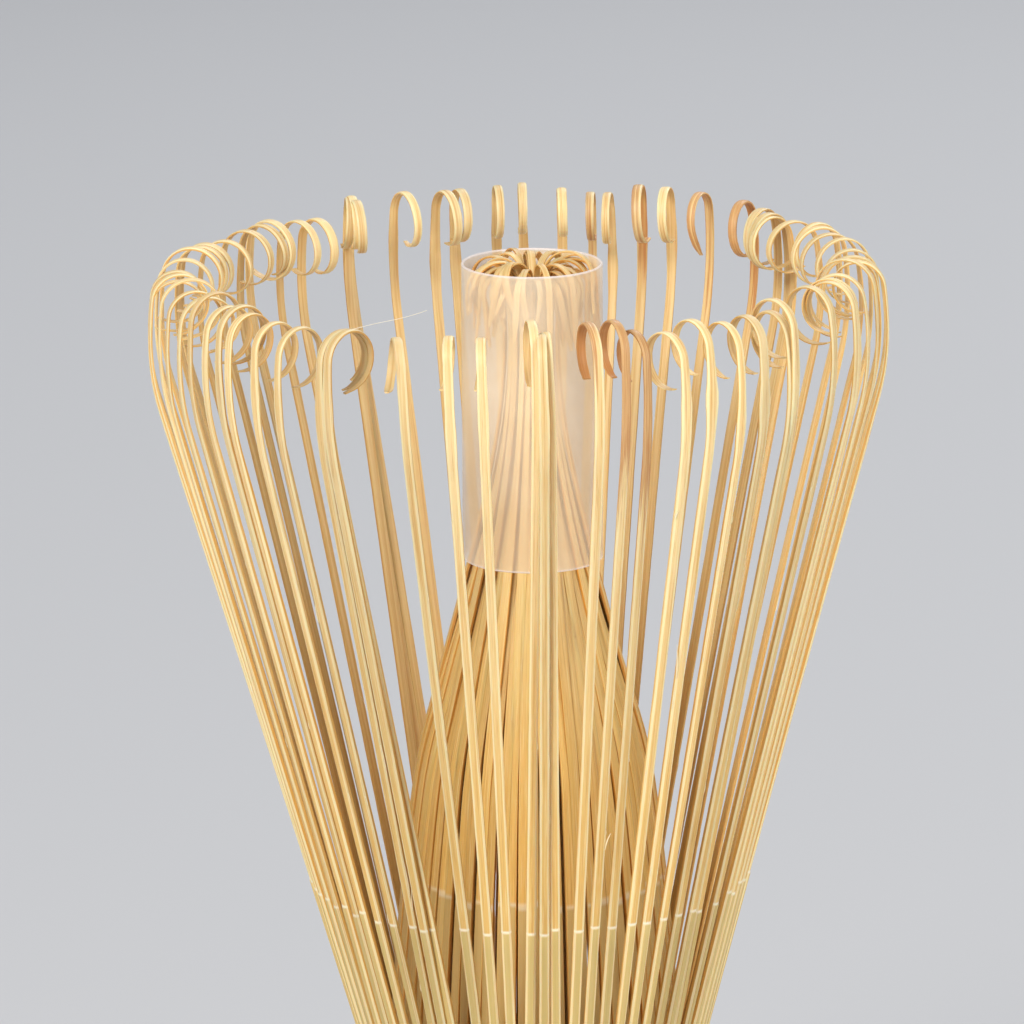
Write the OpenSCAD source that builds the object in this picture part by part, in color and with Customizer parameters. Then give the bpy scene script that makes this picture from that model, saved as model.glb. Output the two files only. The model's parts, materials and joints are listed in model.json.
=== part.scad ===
// Bamboo tea whisk (chasen): a culm handle whose wall is split at the neck into two coats of tines.
// The outer coat spreads and curls inward. The inner coat is gathered in a clear plastic sleeve.
// Millimetres, +Z up, origin at the centre of the handle's bottom rim.

/* [Handle] */
// Height of the handle, from its bottom rim to the neck where the tines begin
handle_h = 44; // [42:1:50]
// Outer radius of the culm at its bottom rim
rim_r = 12.5; // [12:0.1:13]
// Outer radius of the culm at the neck
neck_r = 12.95; // [12.9:0.05:13.4]
// Radius of the hollow inside the culm
bore_r = 9.3; // [8:0.1:10]
// Height of the culm's node ring above the bottom rim
ring_z = 15; // [12:0.5:20]
// How far the node ring stands out from the culm
ring_bulge = 0.6; // [0.3:0.1:1]
// Thickness of the natural partition inside the node ring
partition_t = 2.4; // [1.5:0.1:4]

/* [Outer tines] */
// Lean of the outer tines away from the axis, in degrees
outer_lean = 15; // [14:0.25:16]
// Length of the straight stretch of an outer tine
outer_straight = 63.3; // [55:0.1:66]
// Width of an outer tine at its root
outer_root_w = 0.68; // [0.5:0.02:0.7]
// Width of an outer tine at its curl
outer_tip_w = 0.84; // [0.7:0.02:0.96]
// Thickness of an outer tine at its root
outer_root_t = 0.5; // [0.4:0.05:0.55]
// Thickness of an outer tine at its tip
outer_tip_t = 0.3; // [0.2:0.05:0.35]
// Radius of the tight part of an outer tine's curl
outer_curl_r = 2.25; // [2:0.05:2.5]
// How far the tight part of an outer tine's curl turns, in degrees
outer_curl_turn = 265; // [200:5:290]

/* [Inner tines] */
// Width of an inner tine at its root
inner_root_w = 0.5; // [0.4:0.02:0.55]
// Width of an inner tine at its tip
inner_tip_w = 0.26; // [0.2:0.02:0.28]
// Thickness of an inner tine at its root
inner_root_t = 0.45; // [0.35:0.05:0.5]
// Thickness of an inner tine at its tip
inner_tip_t = 0.2; // [0.15:0.05:0.25]
// Lean of the gathered inner tines and their sleeve towards +X, in degrees
bundle_lean = 0.9; // [0:0.1:1.2]

/* [Thread] */
// Thickness of the binding thread
thread_d = 0.8; // [0.6:0.05:0.9]
// Thickness of the thread where it is pinched between the two coats of tines
pinched_d = 0.46; // [0.3:0.02:0.5]
// Number of rounds that the thread takes outside the outer tines
outer_rounds = 3; // [2:1:4]

/* [Sleeve] */
// Length of the plastic sleeve
sleeve_h = 24.6; // [20:0.2:26]
// Outer radius of the plastic sleeve
sleeve_r = 5.75; // [5.6:0.05:6]
// Thickness of the sleeve's wall
sleeve_t = 0.4; // [0.2:0.05:0.45]

/* [Hidden] */
SECTORS = 18;
TINES = 4;
sector_a = 360 / SECTORS;
pitch_a = sector_a / TINES;
// The tines of one sector stand a little closer together than those of two neighbouring sectors.
tine_step = 4.75;

// Root strips, one for each sector's outer tines and one for its inner tines
root_z = handle_h + 0.3;
root_h = 0.8;
root_a = 19.3;
outer_root_r = neck_r - outer_root_t / 2;
inner_root_r = neck_r - outer_root_t - 0.2 - inner_root_t / 2;
hinge_z = root_z + root_h / 2;

function two_digits(i) = str(i < 10 ? "0" : "", i);
function sector_name(coat, i) = str(coat, "_tines_", two_digits(i));

$fn = 96;

// ---- Paths of the tines, drawn in the plane that holds the axis: x is the radius, y the height ----

// A path is made of stretches, each [length, turn, steps]. Heading 0 is straight up, and a positive
// heading leans away from the axis.
function steps_of(stretches) = [
    for (s = stretches) for (i = [1:s[2]]) [s[0] / s[2], s[1] / s[2]]
];
// Every point of the traced path is [radius, height, heading, length so far].
function trace(r, z, heading, steps, i = 0, done = 0) =
    i == len(steps) ? [[r, z, heading, done]] :
    let (d = steps[i][0], mid = heading + steps[i][1] / 2)
    concat(
        [[r, z, heading, done]],
        trace(r + d * sin(mid), z + d * cos(mid), heading + steps[i][1], steps, i + 1, done + d)
    );
// The point beside a path point, on its outer side for a positive offset
function beside(p, offset) = [p[0] + offset * cos(p[2]), p[1] - offset * sin(p[2])];
// The closed outline of a strip that follows a path and thins from t0 to t1
function strip(path, t0, t1) =
    let (n = len(path) - 1, total = path[n][3])
    concat(
        [for (i = [0:n]) beside(path[i], (t0 + (t1 - t0) * path[i][3] / total) / 2)],
        [for (i = [n:-1:0]) beside(path[i], -(t0 + (t1 - t0) * path[i][3] / total) / 2)]
    );
// The length of an arc
function arc(r, turn) = r * turn * PI / 180;

// Outer tine: straight, a slow bend to upright, then a curl towards the axis
function outer_path(vary) = trace(outer_root_r, hinge_z, outer_lean, steps_of([
    [outer_straight, 0, 1],
    [5.4, -outer_lean, 3],
    [3.6, -8, 2],
    [arc(outer_curl_r, outer_curl_turn) * (1 + 0.06 * vary), -outer_curl_turn, 11]
]));

// Inner tines close in on three levels that nest inside one another, so that none cross. Each runs up
// to a waist near the top of the sleeve, then curls outward and hangs down.
function inner_path(level) = trace(inner_root_r, hinge_z, -1.5, steps_of([
    [28, -6.3, 3],
    [6, -7.5 - 0.8 * level, 2],
    [13.2, -0.3 * level, 1],
    [7.8 + 0.8 * level, 9 + 0.1 * level, 3],
    [11 + 0.9 * level, 6.3 + level, 2],
    [arc(0.6 + 0.42 * level, 175), 175, 7],
    [3.4 - 0.3 * level, 5, 2]
]));

// A tine in its own plane, cut to a width that changes from root to tip
module tine(path, t0, t1, w0, w1, w_mid) {
    top = max([for (p = path) p[1]]) + 1;
    intersection() {
        rotate([90, 0, 0])
            linear_extrude(2 * w_mid, center = true)
                polygon(strip(path, t0, t1));
        rotate([90, 0, 90])
            linear_extrude(2 * neck_r + 40)
                polygon([
                    [-w0 / 2, hinge_z - 1], [w0 / 2, hinge_z - 1],
                    [w1 / 2, top], [-w1 / 2, top]
                ]);
    }
}

// The short arc of split wall that joins the roots of one sector's tines
module root_strip(r, t) {
    rotate(-root_a / 2)
        rotate_extrude(angle = root_a)
            translate([r - t / 2, root_z])
                square([t, root_h]);
}

// Angle of tine k of a sector, from the sector's middle
function tine_angle(k) = (k - (TINES + 1) / 2) * tine_step;

module outer_tines(i) {
    color("burlywood")
        rotate(i * sector_a) {
            root_strip(outer_root_r, outer_root_t);
            for (k = [1:TINES])
                rotate(tine_angle(k))
                    tine(
                        outer_path(sin(137 * (TINES * i + k))),
                        outer_root_t, outer_tip_t, outer_root_w, outer_tip_w, outer_tip_w
                    );
        }
}

module leaning_bundle() {
    translate([0, 0, root_z])
        rotate([0, bundle_lean, 0])
            translate([0, 0, -root_z])
                children();
}

// The inner tines stand between the outer ones, half a pitch round.
module inner_tines(i) {
    color("tan")
        leaning_bundle()
            rotate(i * sector_a + pitch_a / 2) {
                root_strip(inner_root_r, inner_root_t);
                for (k = [1:TINES])
                    rotate(tine_angle(k))
                        tine(
                            inner_path((TINES * i + k) % 3),
                            inner_root_t, inner_tip_t, inner_root_w, inner_tip_w, inner_root_w
                        );
            }
}

// ---- Handle ----

// Outline of the culm's outer face, from the rim to the neck, with the node ring as a soft bulge
function culm_r(z) = rim_r + (neck_r - rim_r) * z / handle_h;
function ring_outline() = [
    for (a = [-90:15:90]) [culm_r(ring_z) + ring_bulge * cos(a), ring_z + 2.2 * a / 90]
];

module handle() {
    rim_edge = 0.5;
    partition_z = ring_z - partition_t / 2;
    neck_bore_r = inner_root_r - inner_root_t / 2 - 0.1;
    color("peru")
        rotate_extrude()
            difference() {
                polygon(concat(
                    [[0, 0], [rim_r - rim_edge, 0], [rim_r, rim_edge]],
                    ring_outline(),
                    [[neck_r, handle_h], [0, handle_h]]
                ));
                // Lower hollow, open at the rim
                translate([-1, -1])
                    square([bore_r + 1, partition_z + 1]);
                // Upper hollow, which widens to the thin wall that is split into tines
                polygon([
                    [-1, partition_z + partition_t], [bore_r, partition_z + partition_t],
                    [bore_r, handle_h - 9], [neck_bore_r, handle_h - 2],
                    [neck_bore_r, handle_h + 1], [-1, handle_h + 1]
                ]);
            }
}

// ---- Thread ----

module thread_ring(r, z, d) {
    rotate_extrude()
        translate([r, z])
            circle(d = d, $fn = 24);
}

// Outer face of the outer tines at a height, with the room that their outward flexing needs
function outer_face_r(z) = neck_r + (z - hinge_z) * (tan(outer_lean) + 0.07);
first_round_z = root_z + root_h + 0.8;
round_step = 0.82 * thread_d;

// The rounds outside the outer tines, and the knot that ends them, at the back
module binding_thread() {
    knot_z = first_round_z + round_step;
    knot_r = outer_face_r(knot_z) + 1.4 * thread_d;
    color("black") {
        for (i = [0:outer_rounds - 1])
            let (z = first_round_z + i * round_step)
                thread_ring(outer_face_r(z) + thread_d / 2 + 0.1, z, thread_d);
        translate([0, knot_r, knot_z])
            rotate([90, 0, 0])
                cylinder(h = 0.9 * thread_d, r1 = 0.9, r2 = 1.2, center = true);
    }
}

// The round that lies in the wedge between the outer and the inner tines
module spacing_thread() {
    color("black")
        thread_ring(neck_r - outer_root_t + 0.02, first_round_z + 0.4, pinched_d);
}

// ---- Sleeve ----

module inner_tip_sleeve() {
    sleeve_z = handle_h + 47.6;
    color("wheat", 0.6)
        leaning_bundle()
            translate([0, 0, sleeve_z])
                difference() {
                    cylinder(h = sleeve_h, r = sleeve_r);
                    translate([0, 0, -1])
                        cylinder(h = sleeve_h + 2, r = sleeve_r - sleeve_t);
                }
}

handle();
for (i = [1:SECTORS])
    outer_tines(i);
for (i = [1:SECTORS])
    inner_tines(i);
binding_thread();
spacing_thread();
inner_tip_sleeve();
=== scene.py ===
"""Bamboo tea whisk (chasen): the looks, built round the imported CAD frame. Lengths are in metres."""

import json
import math
import random
from collections import namedtuple

import bpy
from mathutils import Matrix, Vector


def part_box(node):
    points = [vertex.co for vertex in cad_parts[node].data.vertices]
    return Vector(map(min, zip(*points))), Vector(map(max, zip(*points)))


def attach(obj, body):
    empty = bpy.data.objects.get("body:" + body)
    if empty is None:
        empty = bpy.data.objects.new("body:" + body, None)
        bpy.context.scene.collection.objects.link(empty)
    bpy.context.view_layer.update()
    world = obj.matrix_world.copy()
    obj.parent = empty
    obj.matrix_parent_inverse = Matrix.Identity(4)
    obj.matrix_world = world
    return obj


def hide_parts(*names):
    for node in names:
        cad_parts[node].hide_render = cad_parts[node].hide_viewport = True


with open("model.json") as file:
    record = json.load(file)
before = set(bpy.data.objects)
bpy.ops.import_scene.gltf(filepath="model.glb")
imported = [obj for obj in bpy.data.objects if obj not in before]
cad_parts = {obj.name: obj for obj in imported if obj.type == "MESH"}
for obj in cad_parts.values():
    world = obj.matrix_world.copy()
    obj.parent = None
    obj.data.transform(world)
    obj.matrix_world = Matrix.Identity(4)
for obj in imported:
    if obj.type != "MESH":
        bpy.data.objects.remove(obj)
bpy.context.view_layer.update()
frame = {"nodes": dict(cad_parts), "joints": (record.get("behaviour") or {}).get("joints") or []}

MM = 0.001
UP = Vector((0, 0, 1))


# ---- Places, read from the frame ----

def radius(point):
    return math.hypot(point.x, point.y)


handle_points = [v.co.copy() for v in frame["nodes"]["handle"].data.vertices]
neck_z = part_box("handle")[1].z
neck_r = max(radius(p) for p in handle_points if p.z > neck_z - 0.01 * MM)
rim_r = max(radius(p) for p in handle_points if p.z < 0.6 * MM)
bore_r = min(radius(p) for p in handle_points if p.z < 0.1 * MM)
node_z = max(handle_points, key=radius).z

sectors = sum(name.startswith("outer_tines_") for name in frame["nodes"])
sector_step = 360 / sectors
tines_per_sector = 4
# The tines of one sector stand a little closer together than those of two neighbouring sectors
tine_step = 4.75
# Radii of the middle of the outer and of the inner tines at their roots
outer_root_r = neck_r - 0.25 * MM
inner_root_r = neck_r - 0.92 * MM
top_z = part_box("outer_tines_01")[1].z
# Height of the step where the rind was peeled off the tines
step_z = top_z - 52.1 * MM

slide = next(j for j in frame["joints"] if j["name"] == "sleeve_slide")
bundle_axis = Vector(slide["axis"]).normalized()
bundle_foot = Vector((0, 0, neck_z + 0.3 * MM))
bundle_lean = bundle_axis.angle(UP)
sleeve_low, sleeve_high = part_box("inner_tip_sleeve")
sleeve_r = (sleeve_high.y - sleeve_low.y) / 2
sleeve_z = sleeve_low.z + sleeve_r * math.sin(bundle_lean)
sleeve_length = (sleeve_high.z - sleeve_z - sleeve_r * math.sin(bundle_lean)) / math.cos(bundle_lean)


def polar(r, degrees, z=0.0):
    a = math.radians(degrees)
    return Vector((r * math.cos(a), r * math.sin(a), z))


def tine_angle(sector, tine):
    """Azimuth of a tine's root."""
    return sector * sector_step + (tine - (tines_per_sector + 1) / 2) * tine_step


def next_angle(sector, tine):
    """Azimuth of the next tine's root round the ring."""
    if tine < tines_per_sector:
        return tine_angle(sector, tine) + tine_step
    return tine_angle(sector + 1, 1)


def all_tines():
    """Sector and number of each tine of one coat, in their order round the ring."""
    return [(sector, tine) for sector in range(1, sectors + 1) for tine in range(1, tines_per_sector + 1)]


def lean_matrix():
    """Turns the upright inner bundle to the lean that the sleeve's slide axis has."""
    turn = UP.rotation_difference(bundle_axis).to_matrix().to_4x4()
    return Matrix.Translation(bundle_foot) @ turn @ Matrix.Translation(-bundle_foot)


def smooth(t):
    t = min(1.0, max(0.0, t))
    return t * t * (3 - 2 * t)


def mix(a, b, t):
    return a + (b - a) * t


def chance(low, high):
    return random.uniform(low, high)


# ---- A pen that draws a strip of bamboo through space ----

class Pen:
    """Walks a path. Its axis is the way across the strip, which it bends about."""

    def __init__(self, place, heading, axis):
        self.place = place.copy()
        self.heading = heading.normalized()
        self.axis = axis.normalized()
        self.along = 0.0
        self.rings = []
        self.mark()

    def mark(self):
        across = (self.axis - self.heading * self.axis.dot(self.heading)).normalized()
        face = self.heading.cross(across)
        self.rings.append((self.place.copy(), across, face, self.along))

    def bend(self, degrees):
        self.heading = Matrix.Rotation(math.radians(degrees), 3, self.axis) @ self.heading

    def yaw(self, degrees):
        """Turns the bending axis about the heading."""
        self.axis = Matrix.Rotation(math.radians(degrees), 3, self.heading) @ self.axis

    def tilt(self, degrees):
        """Leans the heading along the axis, so that a later curl winds like a helix."""
        face = self.heading.cross(self.axis)
        self.heading = Matrix.Rotation(math.radians(degrees), 3, face) @ self.heading

    def go(self, length, bend=0.0, steps=1, yaw=0.0):
        for _ in range(steps):
            self.bend(bend / steps / 2)
            self.place = self.place + self.heading * (length / steps)
            self.bend(bend / steps / 2)
            self.yaw(yaw / steps)
            self.along += length / steps
            self.mark()


# Outlines of a strip: across from -1 to 1, depth from -1 on its inner face to 1 on its outer face, and
# which surface each point is on. The maker shaves the outer corners of an outer tine.
FACE, BEVEL, SIDE, BACK = range(4)
SHAVED = [
    (-0.5, 1.0, FACE), (0.0, 1.03, FACE), (0.5, 1.0, FACE), (0.62, 0.92, BEVEL), (0.97, 0.3, BEVEL),
    (1.0, 0.1, SIDE), (0.98, -0.9, SIDE), (0.88, -1.0, BACK), (0.0, -1.04, BACK), (-0.88, -1.0, BACK),
    (-0.98, -0.9, SIDE), (-1.0, 0.1, SIDE), (-0.97, 0.3, BEVEL), (-0.62, 0.92, BEVEL),
]
SPLIT = [
    (-0.78, 1.0, FACE), (0.0, 1.04, FACE), (0.78, 1.0, FACE), (0.92, 0.9, BEVEL), (1.0, 0.6, SIDE),
    (1.0, -0.8, SIDE), (0.9, -1.0, BACK), (0.0, -1.04, BACK), (-0.9, -1.0, BACK), (-1.0, -0.8, SIDE),
    (-1.0, 0.6, SIDE), (-0.92, 0.9, BEVEL),
]
SHRED = [(-1.0, 0.0, BEVEL), (0.0, 1.0, BEVEL), (1.0, 0.0, BEVEL), (0.0, -1.0, BEVEL)]


class Section:
    """What a strip's cross-section is like at one ring."""

    def __init__(self, width, thick, lift=0.0, stain=0.0, rind=0.0, ledge=0.0):
        self.width = width
        self.thick = thick
        self.lift = lift
        self.stain = stain
        self.rind = rind
        self.ledge = ledge


class Bundle:
    """Gathers many strips into one mesh, with what their material needs at each vertex."""

    FLOATS = ("tint", "bevel_highlight", "painted_side_shade", "inside", "stain", "rind", "ledge")

    def __init__(self):
        self.points = []
        self.faces = []
        self.fibre = []
        self.floats = {name: [] for name in self.FLOATS}

    def strip(self, rings, section, outline, tint, painted_side_shades):
        """section(place, along) gives the Section at a ring; the last argument gives how deep the painted
        shade on each side is.
        """
        first = len(self.points)
        count = len(outline)
        offset = chance(0, 90)
        for place, across, face, along in rings:
            cut = section(place, along)
            for a, b, surface in outline:
                depth = b * cut.thick / 2 + (cut.lift if surface == FACE else 0.0)
                wide = a * cut.width / 2
                self.points.append(place + across * wide + face * depth)
                self.fibre.append((wide / MM + offset, depth / MM + offset * 0.37, along / MM))
                self.floats["tint"].append(tint)
                self.floats["bevel_highlight"].append(float(surface == BEVEL))
                # Painted shade on the sides of a tine, set for each side
                self.floats["painted_side_shade"].append(painted_side_shades[0 if a < 0 else 1] if surface == SIDE else 0.0)
                self.floats["inside"].append(float(surface == BACK))
                self.floats["stain"].append(cut.stain)
                self.floats["rind"].append(cut.rind if surface == FACE else 0.0)
                self.floats["ledge"].append(cut.ledge if surface in (FACE, BEVEL) else 0.0)
        for ring in range(len(rings) - 1):
            low = first + ring * count
            for i in range(count):
                j = (i + 1) % count
                self.faces.append((low + i, low + j, low + count + j, low + count + i))
        self.faces.append(tuple(first + i for i in reversed(range(count))))
        last = first + (len(rings) - 1) * count
        self.faces.append(tuple(last + i for i in range(count)))

    def make(self, name, material, matrix=None):
        points = [matrix @ p for p in self.points] if matrix else self.points
        made = new_object(name, points, self.faces, material)
        mesh = made.data
        mesh.attributes.new("fibre", "FLOAT_VECTOR", "POINT").data.foreach_set(
            "vector", [x for v in self.fibre for x in v])
        for key, values in self.floats.items():
            mesh.attributes.new(key, "FLOAT", "POINT").data.foreach_set("value", values)
        mesh.set_sharp_from_angle(angle=math.radians(28))
        return made


def new_object(name, points, faces, material):
    mesh = bpy.data.meshes.new(name)
    mesh.from_pydata(points, [], faces)
    mesh.shade_smooth()
    made = bpy.data.objects.new(name, mesh)
    bpy.context.scene.collection.objects.link(made)
    made.data.materials.append(material)
    return made


# ---- Node helpers ----

def new_material(name):
    material = bpy.data.materials.new(name)
    material.use_nodes = True
    tree = material.node_tree
    return material, tree, tree.nodes["Principled BSDF"]


def add(tree, kind, values=None, **settings):
    """Adds a node. values sets or links its inputs, by name or number."""
    made = tree.nodes.new(kind)
    for key, value in settings.items():
        setattr(made, key, value)
    for key, value in (values or {}).items():
        if isinstance(value, bpy.types.NodeSocket):
            tree.links.new(value, made.inputs[key])
        else:
            made.inputs[key].default_value = value
    return made


def attribute(tree, name, vector=False):
    made = add(tree, "ShaderNodeAttribute", attribute_name=name)
    return made.outputs["Vector" if vector else "Fac"]


def maths(tree, operation, a, b=0.0):
    return add(tree, "ShaderNodeMath", {0: a, 1: b}, operation=operation).outputs[0]


def span(tree, value, low, high, to_low=0.0, to_high=1.0):
    """Maps a value from one range to another, with a soft start and end."""
    values = {"Value": value, "From Min": low, "From Max": high, "To Min": to_low, "To Max": to_high}
    return add(tree, "ShaderNodeMapRange", values, interpolation_type="SMOOTHSTEP").outputs["Result"]


def blend(tree, factor, a, b, mode="MIX"):
    made = add(tree, "ShaderNodeMix", data_type="RGBA", blend_type=mode)
    for socket, value in ((made.inputs[0], factor), (made.inputs[6], a), (made.inputs[7], b)):
        if isinstance(value, bpy.types.NodeSocket):
            tree.links.new(value, socket)
        else:
            socket.default_value = value
    return made.outputs[2]


def noise(tree, vector, stretch, scale=1.0, detail=3.0, rough=0.5):
    """Noise drawn out by stretch, a size for each direction."""
    mapped = add(tree, "ShaderNodeVectorMath", {0: vector, 1: stretch}, operation="MULTIPLY").outputs[0]
    values = {"Vector": mapped, "Scale": scale, "Detail": detail, "Roughness": rough}
    return add(tree, "ShaderNodeTexNoise", values).outputs["Fac"]


def relief(tree, shader, height, depth, strength=0.5):
    """Bumps a surface by a height, which depth turns into metres."""
    values = {"Height": height, "Strength": strength, "Distance": depth}
    tree.links.new(add(tree, "ShaderNodeBump", values).outputs[0], shader.inputs["Normal"])


def colour(red, green, blue):
    """A colour from its 0 to 255 screen values."""
    def linear(c):
        c /= 255
        return c / 12.92 if c <= 0.04045 else ((c + 0.055) / 1.055) ** 2.4
    return (linear(red), linear(green), linear(blue), 1.0)


# ---- Bamboo ----

def soften(shader, weight):
    """The little light that thin bamboo lets through."""
    shader.inputs["IOR"].default_value = 1.45
    shader.inputs["Subsurface Weight"].default_value = weight
    shader.inputs["Subsurface Radius"].default_value = (1.0, 0.55, 0.25)
    shader.inputs["Subsurface Scale"].default_value = 0.4 * MM


def fibre_colours(tree, fibre, streaks, hairs, tip, middle):
    """The colour that changes up a tine, with its patches and fibres."""
    along = add(tree, "ShaderNodeSeparateXYZ", {0: fibre}).outputs[2]
    patches = noise(tree, fibre, (0.5, 0.5, 0.06), detail=2.0)
    base = blend(tree, span(tree, along, 26.0, 64.0), middle, tip)
    base = blend(tree, span(tree, patches, 0.4, 0.75, 0.0, 0.45), base, colour(226, 178, 98))
    base = blend(tree, span(tree, streaks, 0.52, 0.32, 0.0, 0.7), base, colour(214, 164, 84))
    base = blend(tree, span(tree, hairs, 0.54, 0.66, 0.0, 0.6), base, colour(246, 224, 166))
    return blend(tree, span(tree, hairs, 0.44, 0.32, 0.0, 0.5), base, colour(190, 136, 62))


def surface_colours(tree, base, streaks, bevel_highlight, painted_side_shade, rind):
    """What each side of a strip adds: a painted highlight on the shaved corners, painted shade on the
    sides, pith, rind and the peeled step.
    """
    # Painted highlight: the shaved corners are lightened towards a pale colour
    corner_highlight = maths(tree, "MULTIPLY", attribute(tree, "bevel_highlight"), span(tree, streaks, 0.3, 0.5, 0.3, 0.8))
    base = blend(tree, corner_highlight, base, bevel_highlight)
    # Painted shade: the sides of a tine, where its neighbours shade it, are darkened towards a deeper
    # golden
    side_shading = maths(tree, "MULTIPLY", attribute(tree, "painted_side_shade"), span(tree, streaks, 0.25, 0.55, 0.7, 1.0))
    base = blend(tree, side_shading, base, painted_side_shade)
    pith = blend(tree, span(tree, streaks, 0.35, 0.65), colour(214, 176, 112), colour(232, 204, 148))
    base = blend(tree, maths(tree, "MULTIPLY", attribute(tree, "inside"), 0.75), base, pith)
    skin = blend(tree, span(tree, streaks, 0.35, 0.7, 0.0, 0.4), rind, colour(224, 200, 140))
    base = blend(tree, attribute(tree, "rind"), base, skin)
    return blend(tree, attribute(tree, "ledge"), base, colour(250, 240, 212))


def stained(tree, base, fibre, hairs):
    """Browns a tine. A stain is deepest just inside its edge, and fades out in streaks."""
    drift = span(tree, noise(tree, fibre, (4.0, 4.0, 0.09), detail=3.0, rough=0.6), 0.28, 0.72)
    reach = maths(tree, "SUBTRACT", maths(tree, "MULTIPLY", attribute(tree, "stain"), 1.5), drift)
    brown = blend(tree, span(tree, hairs, 0.35, 0.65), colour(186, 126, 68), colour(216, 172, 116))
    pith = maths(tree, "MULTIPLY", attribute(tree, "inside"), 0.6)
    brown = blend(tree, pith, brown, colour(184, 112, 44))
    brown = blend(tree, span(tree, reach, 0.75, 0.3, 0.0, 0.7), brown, colour(178, 104, 44))
    return blend(tree, span(tree, reach, -0.25, 0.55, 0.0, 0.85), base, brown)


def tine_material(name, tip, middle, bevel_highlight, painted_side_shade, rind):
    """Split bamboo, satin and a little bumpy along its fibres, with a painted highlight on its shaved
    corners and painted shade on its sides.
    """
    material, tree, shader = new_material(name)
    fibre = attribute(tree, "fibre", vector=True)
    streaks = noise(tree, fibre, (5.0, 5.0, 0.06), detail=4.0, rough=0.6)
    hairs = noise(tree, fibre, (15.0, 15.0, 0.18), detail=3.0, rough=0.65)
    base = fibre_colours(tree, fibre, streaks, hairs, tip, middle)
    base = surface_colours(tree, base, streaks, bevel_highlight, painted_side_shade, rind)
    base = stained(tree, base, fibre, hairs)
    bright = span(tree, attribute(tree, "tint"), 0.0, 1.0, 0.86, 1.06)
    grey = add(tree, "ShaderNodeCombineColor", {0: bright, 1: bright, 2: bright}).outputs[0]
    tree.links.new(blend(tree, 1.0, base, grey, "MULTIPLY"), shader.inputs["Base Color"])
    tree.links.new(span(tree, hairs, 0.3, 0.7, 0.4, 0.6), shader.inputs["Roughness"])
    relief(tree, shader, maths(tree, "ADD", maths(tree, "MULTIPLY", hairs, 0.5), streaks), 0.03 * MM)
    soften(shader, 0.25)
    return material


def skin_colours(tree, place, streaks, clouds, lines):
    """The culm's skin: browner at the node, with a bloom of wax under it, specks, and painted shade in its
    splits and in the groove of its node.
    """
    height = add(tree, "ShaderNodeSeparateXYZ", {0: place}).outputs[2]
    skin = blend(tree, span(tree, streaks, 0.3, 0.7), colour(206, 176, 108), colour(226, 202, 140))
    skin = blend(tree, span(tree, clouds, 0.4, 0.75, 0.0, 0.6), skin, colour(216, 186, 112))
    skin = blend(tree, span(tree, lines, 0.6, 0.75, 0.0, 0.35), skin, colour(184, 146, 84))
    specks = noise(tree, place, (900, 900, 420), detail=2.0, rough=0.7)
    skin = blend(tree, span(tree, specks, 0.69, 0.76, 0.0, 0.7), skin, colour(150, 104, 58))
    above = maths(tree, "SUBTRACT", height, node_z)
    near = maths(tree, "ABSOLUTE", above)
    skin = blend(tree, span(tree, near, 5.0 * MM, 0.6 * MM, 0.0, 0.45), skin, colour(190, 150, 88))
    low = span(tree, above, -6.0 * MM, -1.6 * MM)
    high = span(tree, above, -0.9 * MM, -1.5 * MM)
    bloom = maths(tree, "MULTIPLY", low, high)
    wax = maths(tree, "MULTIPLY", bloom, span(tree, clouds, 0.3, 0.7, 0.25, 0.7))
    skin = blend(tree, wax, skin, colour(236, 228, 200))
    # Painted shade in the splits at the neck and in the groove of the node
    return blend(tree, attribute(tree, "crease_shade"), skin, colour(132, 92, 48))


def sawn_colours(tree, place, clouds):
    """End grain, with the dark pores of its fibre bundles."""
    cells = add(tree, "ShaderNodeTexVoronoi", {"Vector": place, "Scale": 1500.0, "Randomness": 0.9})
    pores = span(tree, cells.outputs["Distance"], 0.5, 0.28)
    grain = blend(tree, pores, colour(234, 212, 158), colour(160, 116, 66))
    return blend(tree, span(tree, clouds, 0.35, 0.7, 0.0, 0.5), grain, colour(212, 178, 116))


def culm_material():
    """The culm's waxy skin, its sawn end grain and the lining of its hollow."""
    material, tree, shader = new_material("culm_skin")
    place = add(tree, "ShaderNodeTexCoord").outputs["Object"]
    streaks = noise(tree, place, (1500, 1500, 40), detail=5.0, rough=0.6)
    lines = noise(tree, place, (5200, 5200, 70), detail=2.0, rough=0.5)
    clouds = noise(tree, place, (110, 110, 60), detail=3.0)
    lining = blend(tree, span(tree, clouds, 0.3, 0.7), colour(222, 192, 136), colour(196, 154, 96))
    lining = blend(tree, span(tree, streaks, 0.55, 0.75, 0.0, 0.5), lining, colour(242, 228, 190))
    sawn, hollow = attribute(tree, "sawn"), attribute(tree, "hollow")
    base = skin_colours(tree, place, streaks, clouds, lines)
    base = blend(tree, sawn, base, sawn_colours(tree, place, clouds))
    tree.links.new(blend(tree, hollow, base, lining), shader.inputs["Base Color"])
    worn = maths(tree, "MULTIPLY", maths(tree, "MAXIMUM", sawn, hollow), 0.3)
    rough = maths(tree, "ADD", span(tree, streaks, 0.3, 0.7, 0.3, 0.42), worn)
    tree.links.new(rough, shader.inputs["Roughness"])
    relief(tree, shader, maths(tree, "ADD", maths(tree, "MULTIPLY", lines, 0.4), streaks), 0.04 * MM)
    soften(shader, 0.08)
    return material


# ---- Outer tines ----

# How far the rind stands proud of a peeled tine, and the height of the step where it ends
PEEL = 0.06 * MM
LEDGE = 0.19 * MM
# Lean of the outer tines in degrees, and the usual length of their straight stretch in mm
OUTER_LEAN = 15.2
STRAIGHT = 60.5

Curl = namedtuple("Curl", "stray yaw tilt radius turn end longer flare")

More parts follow.
